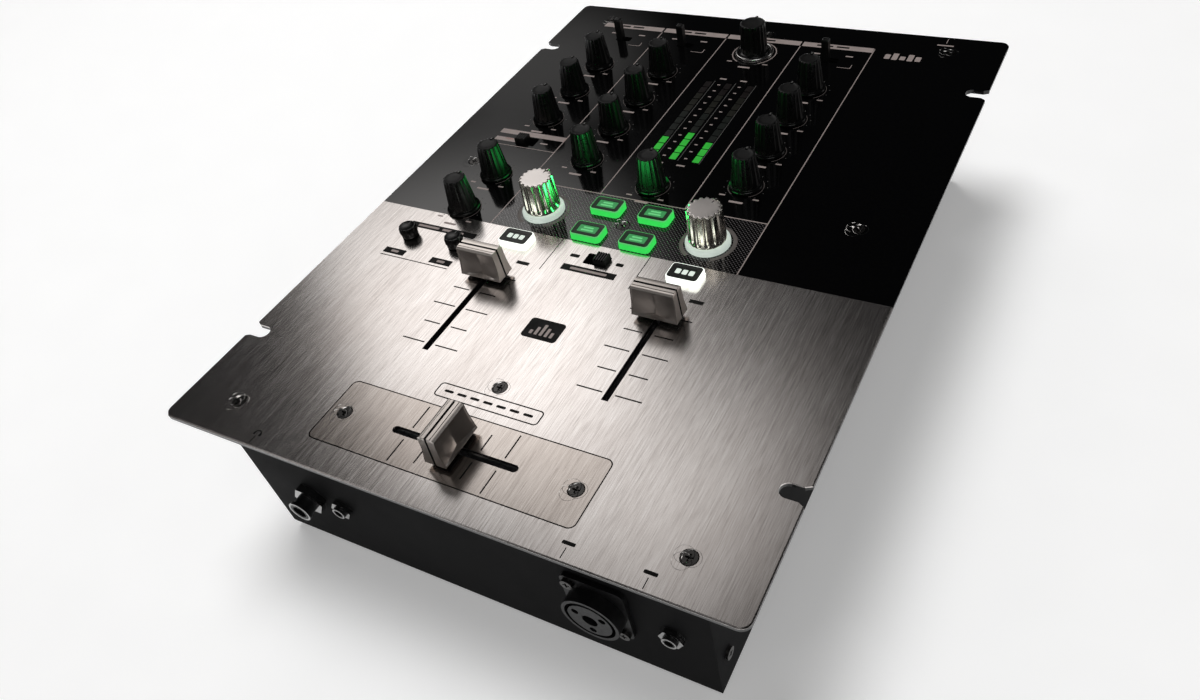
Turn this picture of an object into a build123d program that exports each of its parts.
from build123d import *
import os
import math

os.makedirs("parts", exist_ok=True)

# ---------------------------------------------------------------- driving dimensions (mm)
# Frame: +Z up, X across the control plate, Y from the player's edge to the rear.
# Origin: centre of the footprint, on the surface the feet stand on.
PLATE_W = 254.0          # control plate width (10 in format)
PLATE_L = 355.6          # control plate depth (14 in format)
PLATE_T = 2.0            # control plate thickness
PLATE_R = 4.0            # corner radius
ZT = 82.0                # top face of the control plate
ZU = ZT - PLATE_T        # underside of the control plate
FOOT_H = 4.0
CASE_HX = 107.5          # half width of the case
CASE_HY = 168.0          # half depth of the case
SHEET = 1.2              # sheet metal thickness
SLOT_Y = 126.0           # rack slots in the side edges
SLOT_IN = 116.7
SLOT_W = 6.5

SHAFT_R = 3.0            # potentiometer shaft radius
SHAFT_FIT = 0.05         # running clearance of a shaft in its potentiometer
KNOB_TOP_R = 4.9
KNOB_BASE_R = 6.7
KNOB_SKIRT_R = 7.4
KNOB_H = 17.6
MASTER_TOP_R = 6.4
MASTER_BASE_R = 7.9
MASTER_H = 17.6
FX_TOP_R = 7.6
FX_BASE_R = 8.5
FX_H = 18.6
COLLAR_R = 10.0
COLLAR_H = 2.2
CURVE_R = 4.1
CURVE_H = 5.8

COL_A = -81.8            # microphone / headphone column
COL_B = -42.2            # channel 1 column
COL_C = 42.3             # channel 2 column

FADER_X = 42.2
FADER_REST_Y = -63.5     # channel fader at full level
FADER_TRAVEL = 44.3
FSLOT_Y0, FSLOT_Y1 = -111.4, -59.2
XF_Y = -150.7
XF_HALF_TRAVEL = 22.5
XF_SLOT_HALF = 28.4
XF_PLATE_HX = 59.2
XF_PLATE_Y0, XF_PLATE_Y1 = -165.4, -135.5
CAP_LEN = 20.0           # fader cap, across the travel
CAP_DEPTH = 9.8          # fader cap, along the travel
CAP_Z0 = ZT + 2.3
CAP_Z1 = ZT + 16.3

BUTTON = (15.0, 10.0)
BUTTON_H = 3.0
BUTTON_TRAVEL = 1.0
BOARD_TOP = 69.0
BOARD_T = 1.6
METER_X = (-12.5, -1.0, 11.3)
METER_Y0, METER_Y1 = 37.3, 110.0
METER_W = 4.2

JACK_Z = 37.0            # height of the front jack axes
PHONES_X = -78.0
MINI_X = (-61.0, 91.5)
MIC_X = 62.3
MIC_Z = 39.6
MIC_NOSE = 7.4           # how far the microphone socket stands out of the panel
MIC_SCREWS = ((-9.5, 12.0), (9.5, -12.0))
CSK_R = 3.3              # countersinks in the plate and the screw heads in them
HEAD_R = 2.85
BUTTON_R = 1.9

KNOBS = {                # name: (x, y)
    "mic_level_knob": (COL_A, 112.3),
    "mic_high_knob": (COL_A, 83.8),
    "mic_low_knob": (COL_A, 55.2),
    "cue_mix_knob": (COL_A, 3.8),
    "phones_level_knob": (COL_A, -24.7),
    "ch1_gain_knob": (COL_B, 112.3),
    "ch1_high_knob": (COL_B, 83.8),
    "ch1_mid_knob": (COL_B, 55.2),
    "ch1_low_knob": (COL_B, 26.7),
    "ch2_gain_knob": (COL_C, 112.3),
    "ch2_high_knob": (COL_C, 83.8),
    "ch2_mid_knob": (COL_C, 55.2),
    "ch2_low_knob": (COL_C, 26.7),
    "booth_level_knob": (0.0, 15.2),
}
MASTER = (0.0, 141.9)
FX_KNOBS = {"ch1_effect_knob": (-42.0, -15.5), "ch2_effect_knob": (42.0, -15.5)}
CURVE_KNOBS = {"curve_knob_left": (-95.4, -50.2), "curve_knob_right": (-69.0, -50.2)}
BUTTONS = {
    "ch1_cue_button": (-42.2, -39.1),
    "ch2_cue_button": (42.2, -39.1),
    "effect_button_1": (-12.3, -6.3),
    "effect_button_2": (12.3, -6.3),
    "effect_button_3": (-12.3, -25.1),
    "effect_button_4": (12.3, -25.1),
}
LEVERS = {               # tall input selectors: centre of travel
    "mic_input_lever": (COL_A, 142.6),
    "ch1_input_lever": (COL_B, 142.6),
    "ch2_input_lever": (COL_C, 142.6),
}
LEVER_STEP = 4.0
SLIDERS = {              # low slide switches: centre, side of the travel they rest on
    "cue_split_slider": (-82.0, 33.5, -1),
    "reverse_slider": (0.3, -40.3, 1),
}
SLIDER_STEP = 5.0
PLATE_SCREWS = [(-100, -161), (100, -161), (-100, 10.9), (100, 10.9), (-100, 162.4), (100, 162.4),
                (0, 162.4), (0, -15.2), (0, -119)]
XF_SCREWS = [(-52.4, -150.8), (52.4, -150.8)]
SHORT_POSTS = [(0, -15.2), (0, -119), (-91, -112), (91, -112), (-91, 154), (91, 154)]
FEET = [(-88, -148), (88, -148), (-88, 148), (88, 148)]

RCA_X = (-82, -67, -52, -37, -22)
RCA_Z = (32.0, 50.0)
OUT_X = (0, 19, 38, 57)
OUT_Z = 41.0
INLET_X, INLET_Z = 74.0, 41.0
ROCKER_X, ROCKER_Z = 92.0, 41.0
GROUND_X, GROUND_Z = -98.0, 30.0
PANEL_F = -CASE_HY       # outer faces of the front and rear panels
PANEL_R = CASE_HY


# ---------------------------------------------------------------- helpers
def box(x0, x1, y0, y1, z0, z1):
    return Pos((x0 + x1) / 2, (y0 + y1) / 2, (z0 + z1) / 2) * Box(x1 - x0, y1 - y0, z1 - z0)


def cbox(x, y, dx, dy, z0, z1):
    return box(x - dx / 2, x + dx / 2, y - dy / 2, y + dy / 2, z0, z1)


def rbox(x, y, dx, dy, z0, z1, r):
    sk = Pos(x, y, z0) * RectangleRounded(dx, dy, r)
    return extrude(sk, amount=z1 - z0)


def cyl(x, y, z0, z1, r):
    return Pos(x, y, (z0 + z1) / 2) * Cylinder(r, z1 - z0)


def cone(x, y, z0, z1, r0, r1):
    return Pos(x, y, (z0 + z1) / 2) * Cone(r0, r1, z1 - z0)


def cyly(x, z, y0, y1, r):
    return Pos(x, (y0 + y1) / 2, z) * Rot(90, 0, 0) * Cylinder(r, abs(y1 - y0))


def cylx(y, z, x0, x1, r):
    return Pos((x0 + x1) / 2, y, z) * Rot(0, 90, 0) * Cylinder(r, abs(x1 - x0))


def hexy(x, z, y0, y1, r):
    sk = Pos(x, max(y0, y1), z) * Rot(90, 0, 0) * RegularPolygon(r, 6)
    return extrude(sk, amount=abs(y1 - y0))


def solids_of(obj):
    if isinstance(obj, (list, tuple)):
        out = []
        for o in obj:
            out += solids_of(o)
        return out
    return list(obj.solids())


def save(name, obj):
    s = solids_of(obj)
    shape = s[0] if len(s) == 1 else Compound(s)
    export_step(shape, "parts/%s.step" % name)
    return s


# ---------------------------------------------------------------- control plate
plate = rbox(0, 0, PLATE_W, PLATE_L, ZU, ZT, PLATE_R)
plate = chamfer(plate.faces().sort_by(Axis.Z)[-1].edges(), 0.5)
cuts = []
for sx in (-1, 1):
    for sy in (-1, 1):
        cuts.append(cyl(sx * (SLOT_IN + SLOT_W / 2), sy * SLOT_Y, ZU - 1, ZT + 1, SLOT_W / 2))
        cuts.append(box(min(sx * (SLOT_IN + SLOT_W / 2), sx * 130), max(sx * (SLOT_IN + SLOT_W / 2), sx * 130),
                        sy * SLOT_Y - SLOT_W / 2, sy * SLOT_Y + SLOT_W / 2, ZU - 1, ZT + 1))
        mouth = Polyline((sx * 124.6, sy * SLOT_Y - SLOT_W / 2), (sx * 127.5, sy * SLOT_Y - SLOT_W / 2 - 1.6),
                         (sx * 127.5, sy * SLOT_Y + SLOT_W / 2 + 1.6), (sx * 124.6, sy * SLOT_Y + SLOT_W / 2), close=True)
        cuts.append(extrude(Pos(0, 0, ZU - 1) * make_face(mouth), amount=PLATE_T + 2))
for x, y in list(KNOBS.values()) + [MASTER] + list(FX_KNOBS.values()):
    cuts.append(cyl(x, y, ZU - 1, ZT + 1, 3.9))
for x, y in CURVE_KNOBS.values():
    cuts.append(cyl(x, y, ZU - 1, ZT + 1, 2.6))
for x, y in BUTTONS.values():
    cuts.append(rbox(x, y, BUTTON[0] + 0.8, BUTTON[1] + 0.8, ZU - 1, ZT + 1, BUTTON_R + 0.4))
for x, y in LEVERS.values():
    cuts.append(rbox(x, y, 4.0 + LEVER_STEP + 1.2, 4.6, ZU - 1, ZT + 1, 0.8))
for x, y, side in SLIDERS.values():
    cuts.append(rbox(x, y, 11.6, 7.0, ZU - 1, ZT + 1, 0.8))
for sx in (-1, 1):
    cuts.append(box(sx * FADER_X - 1.5, sx * FADER_X + 1.5, FSLOT_Y0, FSLOT_Y1, ZU - 1, ZT + 1))
for x in METER_X:
    cuts.append(rbox(x, (METER_Y0 + METER_Y1) / 2, METER_W, METER_Y1 - METER_Y0, ZU - 1, ZT + 1, 0.4))
for x, y in PLATE_SCREWS:
    cuts.append(cyl(x, y, ZU - 1, ZT + 1, 1.7))
    cuts.append(cone(x, y, ZT - (CSK_R - 1.7), ZT, 1.7, CSK_R))
cuts.append(rbox(0, (XF_PLATE_Y0 + XF_PLATE_Y1) / 2, 2 * XF_PLATE_HX + 1.0, XF_PLATE_Y1 - XF_PLATE_Y0 + 1.0, ZU - 1, ZT + 1, 3.0))
plate = plate - cuts
save("top_plate", plate)

# ---------------------------------------------------------------- crossfader plate
xp = rbox(0, (XF_PLATE_Y0 + XF_PLATE_Y1) / 2, 2 * XF_PLATE_HX, XF_PLATE_Y1 - XF_PLATE_Y0, ZU, ZT, 2.5)
slot = extrude(Pos(0, XF_Y, ZU - 1) * SlotOverall(2 * XF_SLOT_HALF, 3.3), amount=PLATE_T + 2)
xp = xp - [slot] - [cyl(x, y, ZU - 1, ZT + 1, 1.7) for x, y in XF_SCREWS]
xp = xp - [cone(x, y, ZT - (CSK_R - 1.7), ZT, 1.7, CSK_R) for x, y in XF_SCREWS]
save("crossfader_plate", xp)

# ---------------------------------------------------------------- case
tray = box(-CASE_HX, CASE_HX, -CASE_HY + SHEET, CASE_HY - SHEET, FOOT_H, FOOT_H + SHEET)
for sx in (-1, 1):
    xa, xb = sorted((sx * CASE_HX, sx * (CASE_HX - SHEET)))
    tray = tray + box(xa, xb, -CASE_HY + SHEET, CASE_HY - SHEET, FOOT_H, ZU)
    xa, xb = sorted((sx * CASE_HX, sx * 94.0))
    tray = tray + box(xa, xb, -CASE_HY + SHEET, CASE_HY - SHEET, ZU - SHEET, ZU)
tray_cuts = [cyl(x, y, ZU - SHEET - 1, ZU + 1, 1.7) for x, y in PLATE_SCREWS if abs(x) == 100]
tray_cuts += [cyl(x, y, FOOT_H - 1, FOOT_H + SHEET + 1, 2.1) for x, y in FEET]
tray_cuts.append(box(-102.3, -93.5, -58.5, -42, ZU - SHEET - 1, ZU + 1))   # lets the board tab pass the flange
for sx in (-1, 1):
    for sy in (-1, 1):
        for z in (22, 62):
            tray_cuts.append(cylx(sy * 160, z, sx * (CASE_HX - 3), sx * (CASE_HX + 1), 1.7))
# cooling slots in the floor, near the rear
for i in range(-4, 5):
    tray_cuts.append(rbox(i * 12, 70, 4, 46, FOOT_H - 1, FOOT_H + SHEET + 1, 1.9))
tray = tray - tray_cuts
save("case_tray", tray)


def end_panel(sy, holes):
    ya, yb = sorted((sy * CASE_HY, sy * (CASE_HY - SHEET)))
    p = box(-CASE_HX, CASE_HX, ya, yb, FOOT_H, ZU)
    yf0, yf1 = sorted((sy * CASE_HY, sy * (CASE_HY - 8.5)))
    p = p + box(-93.6, 93.6, yf0, yf1, ZU - SHEET, ZU)
    for sx in (-1, 1):
        xa, xb = sorted((sx * (CASE_HX - SHEET), sx * (CASE_HX - 2 * SHEET)))
        yt0, yt1 = sorted((sy * CASE_HY, sy * (CASE_HY - 14)))
        tab = box(xa, xb, yt0, yt1, 12, 72)
        p = p + (tab - [cylx(sy * 160, z, xa - 1, xb + 1, 1.3) for z in (22, 62)])
    return p - holes


fh = [cyly(PHONES_X, JACK_Z, -170, -160, 4.7), cyly(MIC_X, MIC_Z, -170, -160, 12.2)]
fh += [cyly(x, JACK_Z, -170, -160, 3.2) for x in MINI_X]
fh += [cyly(MIC_X + dx, MIC_Z + dz, -170, -160, 1.4) for dx, dz in MIC_SCREWS]
save("front_panel", end_panel(-1, fh))

rh = [cyly(x, z, 160, 170, 5.2) for x in RCA_X for z in RCA_Z]
rh += [cyly(x, OUT_Z, 160, 170, 4.7) for x in OUT_X]
rh += [cyly(INLET_X, INLET_Z, 160, 170, 4.4), cyly(GROUND_X, GROUND_Z, 160, 170, 2.2)]
rh += [box(ROCKER_X - 6.7, ROCKER_X + 6.7, 160, 170, ROCKER_Z - 9.7, ROCKER_Z + 9.7)]
rh += [cyl(0, 162.4, ZU - SHEET - 1, ZU + 1, 1.7)]
save("rear_panel", end_panel(1, rh))


# ---------------------------------------------------------------- fasteners and feet
def plate_screw(x, y, top, grip):
    # countersunk head, flush with the plate, with a cross recess
    head = cyl(x, y, top - 0.42, top - 0.08, HEAD_R) + cone(x, y, top - 0.42 - (HEAD_R - 1.45), top - 0.42, 1.45, HEAD_R)
    shank = cyl(x, y, top - grip, top - 1.0, 1.45)
    cross = [cbox(x, y, 3.0, 0.75, top - 0.9, top + 1), cbox(x, y, 0.75, 3.0, top - 0.9, top + 1)]
    return (head + shank) - cross


save("panel_screws", [plate_screw(x, y, ZT, 8.0) for x, y in PLATE_SCREWS] +
     [plate_screw(x, y, ZT, 6.0) for x, y in XF_SCREWS])

side = []
for sx in (-1, 1):
    for sy in (-1, 1):
        for z in (22, 62):
            h = cylx(sy * 160, z, sx * CASE_HX, sx * (CASE_HX + 1.3), 2.7)
            s = cylx(sy * 160, z, sx * (CASE_HX - 5), sx * CASE_HX, 1.25)
            c = [box(min(sx * (CASE_HX + 0.5), sx * (CASE_HX + 2)), max(sx * (CASE_HX + 0.5), sx * (CASE_HX + 2)),
                     sy * 160 - 1.4, sy * 160 + 1.4, z - 0.35, z + 0.35),
                 box(min(sx * (CASE_HX + 0.5), sx * (CASE_HX + 2)), max(sx * (CASE_HX + 0.5), sx * (CASE_HX + 2)),
                     sy * 160 - 0.35, sy * 160 + 0.35, z - 1.4, z + 1.4)]
            side.append((h + s) - c)
for dx, dz in MIC_SCREWS:
    h = cyly(MIC_X + dx, MIC_Z + dz, PANEL_F - 3.4, PANEL_F - 1.8, 2.5)
    h = h + cyly(MIC_X + dx, MIC_Z + dz, PANEL_F - 2.0, PANEL_F + 4.0, 1.1)
    side.append(h - [box(MIC_X + dx - a, MIC_X + dx + a, PANEL_F - 4, PANEL_F - 2.7, MIC_Z + dz - b, MIC_Z + dz + b)
                     for a, b in ((1.4, 0.35), (0.35, 1.4))])
save("case_screws", side)

feet = []
for x, y in FEET:
    f = cone(x, y, 0, FOOT_H, 7.6, 9.0)
    f = f - cyl(x, y, -1, 1.6, 3.4)
    feet.append(f + cyl(x, y, 3, FOOT_H + SHEET + 2.0, 1.9))
save("feet", feet)

# ---------------------------------------------------------------- boards and posts
board = box(-93, 93, -122, 162, BOARD_TOP - BOARD_T, BOARD_TOP)
board = board + box(-101.5, -93, -57.5, -43, BOARD_TOP - BOARD_T, BOARD_TOP)   # tab under the outer small knob
board = board - [cyl(x, y, BOARD_TOP - 3, BOARD_TOP + 1, 1.6) for x, y in SHORT_POSTS]
save("control_board", board)
cboard = box(-100, 100, 128, 162, 18, 19.6)
cboard = cboard - [cyl(x, 132, 17, 21, 1.6) for x in (-90, 90)]
save("connector_board", cboard)
posts = []
for x, y in SHORT_POSTS:
    p = cyl(x, y, BOARD_TOP, ZU, 2.6)
    deep = 1.6
    posts.append(p - cyl(x, y, BOARD_TOP - 1, ZU + 1, deep))
for x in (-90, 90):
    for y in (132,):
        posts.append(cyl(x, y, FOOT_H + SHEET, 18, 2.6) - cyl(x, y, 12, 19, 1.5))
save("board_posts", posts)

# ---------------------------------------------------------------- potentiometers
pots = []
for x, y in list(KNOBS.values()) + [MASTER] + list(FX_KNOBS.values()):
    b = cbox(x, y, 9.6, 11.0, BOARD_TOP, 76.0) + cyl(x, y, 76.0, 78.4, 3.8)
    pots.append(b - cyl(x, y, 71.0, 80.0, SHAFT_R + SHAFT_FIT))
for x, y in CURVE_KNOBS.values():
    b = cbox(x, y, 9.6, 11.0, BOARD_TOP, 76.0)
    pots.append(b - cyl(x, y, 71.0, 80.0, 2.0 + SHAFT_FIT))
save("potentiometers", pots)

# ---------------------------------------------------------------- faders
fb = []
for sx in (-1, 1):
    b = box(sx * FADER_X - 6.5, sx * FADER_X + 6.5, -119, -51.5, BOARD_TOP, 79.7)
    b = b - box(sx * FADER_X - 1.3, sx * FADER_X + 1.3, FSLOT_Y0, FSLOT_Y1, 72.0, 81)
    fb.append(b)
save("channel_fader_bodies", fb)
xb = box(-36, 36, XF_Y - 6.5, XF_Y + 6.5, 68.0, ZU - 1.3)
xb = xb + box(-64, 64, XF_Y - 8.0, XF_Y + 8.0, ZU - 1.3, ZU)
xb = xb - box(-XF_SLOT_HALF, XF_SLOT_HALF, XF_Y - 1.3, XF_Y + 1.3, 72.0, 81)
xb = xb - [cyl(x, y, 74, 81, 1.6) for x, y in XF_SCREWS]
save("crossfader_body", xb)


def fader_cap():
    """Cap with dished faces, centred on the origin, travel along Y, stem below."""
    w0, w1 = CAP_DEPTH / 2, 3.6
    h = CAP_Z1 - CAP_Z0
    side_r = ThreePointArc((w0, 1.2), (w0 - 1.55, h * 0.55), (w1, h - 0.6))
    side_l = ThreePointArc((-w1, h - 0.6), (-w0 + 1.55, h * 0.55), (-w0, 1.2))
    prof = (Line((-w0, 0), (w0, 0)) + Line((w0, 0), (w0, 1.2)) + side_r
            + Line((w1, h - 0.6), (w1 - 0.6, h)) + Line((w1 - 0.6, h), (-w1 + 0.6, h))
            + Line((-w1 + 0.6, h), (-w1, h - 0.6)) + side_l + Line((-w0, 1.2), (-w0, 0)))
    face = make_face(prof.edges())
    # local x -> Y, local y -> Z, extruded along X
    pl = Plane(origin=(-CAP_LEN, 0, 0), x_dir=(0, 1, 0), z_dir=(1, 0, 0))
    body = extrude(pl * face, amount=2 * CAP_LEN)
    a, b = CAP_LEN / 2 + 0.3, CAP_LEN / 2 - 0.4
    trap = Polyline((-a, 0), (a, 0), (b, h), (-b, h), close=True)
    pl2 = Plane(origin=(0, CAP_LEN, 0), x_dir=(1, 0, 0), z_dir=(0, -1, 0))
    ends = extrude(pl2 * make_face(trap), amount=2 * CAP_LEN)
    return body & ends


cap = fader_cap()
stem = box(-0.6, 0.6, -2.0, 2.0, 74.0 - CAP_Z0, 0.5)
foot = box(-2.2, 2.2, -3.4, 3.4, -1.1, 0)
cap_full = cap + stem + foot
save("ch1_fader_cap", Pos(-FADER_X, FADER_REST_Y, CAP_Z0) * cap_full)
save("ch2_fader_cap", Pos(FADER_X, FADER_REST_Y, CAP_Z0) * cap_full)
save("crossfader_cap", Pos(0, XF_Y, CAP_Z0) * Rot(0, 0, 90) * cap_full)


# ---------------------------------------------------------------- knobs
def black_knob(top_r, base_r, skirt_r, h):
    k = cone(0, 0, 1.6, h, base_r, top_r)
    k = fillet(k.edges().sort_by(Axis.Z)[-1], 0.5)
    k = k + cone(0, 0, 0.5, 1.6, skirt_r, skirt_r - 0.3)
    # pointer rib, standing a little above the top rim
    rib = box(-0.9, 0.9, top_r - 2.2, top_r + 0.35, h - 6.0, h + 0.5)
    k = k + rib
    return k + cyl(0, 0, 71.2 - ZT, 1.0, SHAFT_R)


kn = black_knob(KNOB_TOP_R, KNOB_BASE_R, KNOB_SKIRT_R, KNOB_H)
for name, (x, y) in KNOBS.items():
    save(name, Pos(x, y, ZT) * kn)
save("master_level_knob", Pos(MASTER[0], MASTER[1], ZT) * black_knob(MASTER_TOP_R, MASTER_BASE_R, MASTER_BASE_R + 0.7, MASTER_H))

fk_body = cone(0, 0, COLLAR_H + 0.4, FX_H, FX_BASE_R, FX_TOP_R)
fk_body = fillet(fk_body.edges().sort_by(Axis.Z)[-1], 0.6)
fk_body = fk_body - box(-0.6, 0.6, FX_TOP_R - 2.4, FX_TOP_R + 2, FX_H - 1.2, FX_H + 1)
fk_body = fk_body + cyl(0, 0, 71.2 - ZT, COLLAR_H + 1, SHAFT_R)
for name, (x, y) in FX_KNOBS.items():
    save(name, Pos(x, y, ZT) * fk_body)

cv = cyl(0, 0, 0.5, CURVE_H, CURVE_R)
cv = fillet(cv.edges().sort_by(Axis.Z)[-1], 0.5)
cv = cv - box(-0.4, 0.4, 0.8, CURVE_R + 1, CURVE_H - 0.6, CURVE_H + 1)
cv = cv + cyl(0, 0, 71.2 - ZT, 1.0, 2.0)
for name, (x, y) in CURVE_KNOBS.items():
    save(name, Pos(x, y, ZT) * cv)

collars = []
for x, y in FX_KNOBS.values():
    c = cyl(x, y, ZT, ZT + COLLAR_H, COLLAR_R)
    c = fillet(c.edges().sort_by(Axis.Z)[-1], 0.7)
    collars.append(c - cyl(x, y, ZT - 1, ZT + 4, 4.2))
save("effect_knob_collars", collars)

# ---------------------------------------------------------------- push buttons
bt = rbox(0, 0, BUTTON[0], BUTTON[1], -3.6, BUTTON_H, BUTTON_R)
bt = fillet(bt.faces().sort_by(Axis.Z)[-1].edges(), 0.45)
bt = bt + cbox(0, 0, BUTTON[0] + 2.0, BUTTON[1] + 2.0, -3.6, -2.4)
bt = bt + cbox(0, 0, 4, 4, -8.6, -3.6)
for name, (x, y) in BUTTONS.items():
    save(name, Pos(x, y, ZT) * bt)
save("button_switches", [cbox(x, y, 6.2, 6.2, BOARD_TOP, 71.6) for x, y in BUTTONS.values()])

# ---------------------------------------------------------------- lever and slide switches
sw = []
for x, y in LEVERS.values():
    b = cbox(x, y, 15, 9, BOARD_TOP, 79.6)
    sw.append(b - cbox(x, y, 4.0 + LEVER_STEP + 0.8, 4.2, 72.0, 81))
for x, y, side_ in SLIDERS.values():
    b = cbox(x, y, 17, 9.6, BOARD_TOP, 79.6)
    sw.append(b - cbox(x, y, 11.2, 6.6, 74.0, 81))
save("switch_bodies", sw)
lv = cbox(0, 0, 3.8, 3.4, 72.4 - ZT, 12.0)
lv = fillet(lv.edges().group_by(Axis.Z)[-1], 1.0)
for name, (x, y) in LEVERS.items():
    save(name, Pos(x - LEVER_STEP / 2, y, ZT) * lv)
sl = cbox(0, 0, 5.8, 5.8, 74.4 - ZT, 3.0)
sl = fillet(sl.edges().group_by(Axis.Z)[-1], 0.4)
sl = sl - [cbox(dx, 0, 0.6, 7, 2.3, 4) for dx in (-1.75, -0.6, 0.6, 1.75)]
for name, (x, y, side_) in SLIDERS.items():
    save(name, Pos(x + side_ * SLIDER_STEP / 2, y, ZT) * sl)

# ---------------------------------------------------------------- level meters
meters = []
for x in METER_X:
    ym = (METER_Y0 + METER_Y1) / 2
    m = cbox(x, ym, 8.4, METER_Y1 - METER_Y0 + 3, BOARD_TOP, ZU)
    meters.append(m + rbox(x, ym, METER_W - 0.2, METER_Y1 - METER_Y0 - 0.2, ZU - 1, ZT - 0.2, 0.3))
save("level_meters", meters)

# ---------------------------------------------------------------- front jacks
body = box(PHONES_X - 8, PHONES_X + 8, PANEL_F + SHEET, PANEL_F + SHEET + 27, JACK_Z - 9, JACK_Z + 9)
nose = cyly(PHONES_X, JACK_Z, -177.0, PANEL_F + SHEET, 4.6)
nose_ring = cyly(PHONES_X, JACK_Z, -177.0, -175.6, 5.3)
nut = hexy(PHONES_X, JACK_Z, -171.4, PANEL_F, 7.6)
j = body + nose + nose_ring + nut
j = j - cyly(PHONES_X, JACK_Z, -178, -145, 3.2)
save("headphone_jack", j)

minis = []
for x in MINI_X:
    m = box(x - 5, x + 5, PANEL_F + SHEET, PANEL_F + SHEET + 13, JACK_Z - 5, JACK_Z + 5)
    m = m + cyly(x, JACK_Z, -171.6, PANEL_F + SHEET, 3.0) + hexy(x, JACK_Z, -170.2, PANEL_F, 5.0)
    minis.append(m - cyly(x, JACK_Z, -172, -156, 1.8))
save("mini_jacks", minis)

# microphone combination socket: flange, proud round nose, six point three millimetre bore, three contact holes
fl = Pos(MIC_X, PANEL_F, MIC_Z) * Rot(90, 0, 0) * RectangleRounded(26, 31, 3)
mic = extrude(fl, amount=1.8)
mic = mic + cyly(MIC_X, MIC_Z, PANEL_F - MIC_NOSE, PANEL_F, 11.8)
mic = mic + cyly(MIC_X, MIC_Z, PANEL_F, PANEL_F + 26, 11.8)
mic = mic - cyly(MIC_X, MIC_Z, PANEL_F - 8, PANEL_F + 23, 3.2)
mic = mic - [cyly(MIC_X + 6.4 * math.sin(a), MIC_Z + 6.4 * math.cos(a), PANEL_F - 8, PANEL_F + 8, 1.5)
             for a in (math.radians(60), math.radians(180), math.radians(300))]
# groove that receives the plug's shell
ring = cyly(MIC_X, MIC_Z, PANEL_F - 8, PANEL_F - 2.0, 10.4) - cyly(MIC_X, MIC_Z, PANEL_F - 9, PANEL_F, 9.0)
mic = mic - ring
mic = mic - [cyly(MIC_X + dx, MIC_Z + dz, PANEL_F - 3, PANEL_F + 1, 1.3) for dx, dz in MIC_SCREWS]
save("mic_socket", mic)

# ---------------------------------------------------------------- rear connectors
rca = []
for x in RCA_X:
    b = box(x - 6.5, x + 6.5, PANEL_R - SHEET - 16, PANEL_R - SHEET, 19.6, 58)
    for z in RCA_Z:
        b = b + cyly(x, z, PANEL_R - SHEET, PANEL_R + 1.0, 5.0) + cyly(x, z, PANEL_R, PANEL_R + 8.6, 4.15)
    b = b - [cyly(x, z, PANEL_R - 6, PANEL_R + 9, 1.6) for z in RCA_Z]
    rca.append(b)
save("rca_sockets", rca)

outs = []
for x in OUT_X:
    b = box(x - 8, x + 8, PANEL_R - SHEET - 27, PANEL_R - SHEET, OUT_Z - 9, OUT_Z + 9)
    b = b + cyly(x, OUT_Z, PANEL_R - SHEET, PANEL_R + 4.0, 4.6) + hexy(x, OUT_Z, PANEL_R, PANEL_R + 2.2, 7.2)
    outs.append(b - cyly(x, OUT_Z, PANEL_R - 22, PANEL_R + 5, 3.2))
save("line_output_jacks", outs)

inl = box(INLET_X - 5.5, INLET_X + 5.5, PANEL_R - SHEET - 13, PANEL_R - SHEET, INLET_Z - 6, INLET_Z + 6)
inl = inl + cyly(INLET_X, INLET_Z, PANEL_R - SHEET, PANEL_R + 1.2, 4.3)
inl = inl - cyly(INLET_X, INLET_Z, PANEL_R - 8.5, PANEL_R + 2, 2.8)
inl = inl + cyly(INLET_X, INLET_Z, PANEL_R - 9, PANEL_R - 0.6, 1.0)
save("power_inlet", inl)

swb = box(ROCKER_X - 6.5, ROCKER_X + 6.5, PANEL_R - SHEET - 16, PANEL_R, ROCKER_Z - 9.5, ROCKER_Z + 9.5)
swb = swb + box(ROCKER_X - 7.5, ROCKER_X + 7.5, PANEL_R, PANEL_R + 1.6, ROCKER_Z - 10.5, ROCKER_Z + 10.5)
swb = swb - box(ROCKER_X - 5.2, ROCKER_X + 5.2, PANEL_R - 8.0, PANEL_R + 2, ROCKER_Z - 8.2, ROCKER_Z + 8.2)
save("power_switch_body", swb)

ROCKER_PIVOT_Y = PANEL_R - 3.0
# rocker, side profile in (y, z) about its pivot, then tipped seven degrees
rp = Polyline((-3.0, -2.2), (-3.0, 2.2), (2.6, 7.2), (4.4, 7.2), (3.4, 0), (4.4, -7.2), (2.6, -7.2), close=True)
plr = Plane(origin=(-4.8, 0, 0), x_dir=(0, 1, 0), z_dir=(1, 0, 0))
rocker = extrude(plr * make_face(rp), amount=9.6)
rocker = Pos(ROCKER_X, ROCKER_PIVOT_Y, ROCKER_Z) * Rot(-7, 0, 0) * rocker
save("power_rocker", rocker)

gp = cyly(GROUND_X, GROUND_Z, PANEL_R - 8, PANEL_R + 7.5, 2.0)
gp = gp + cyly(GROUND_X, GROUND_Z, PANEL_R + 3.0, PANEL_R + 7.5, 4.2) + cyly(GROUND_X, GROUND_Z, PANEL_R, PANEL_R + 1.2, 4.6)
save("ground_post", gp)
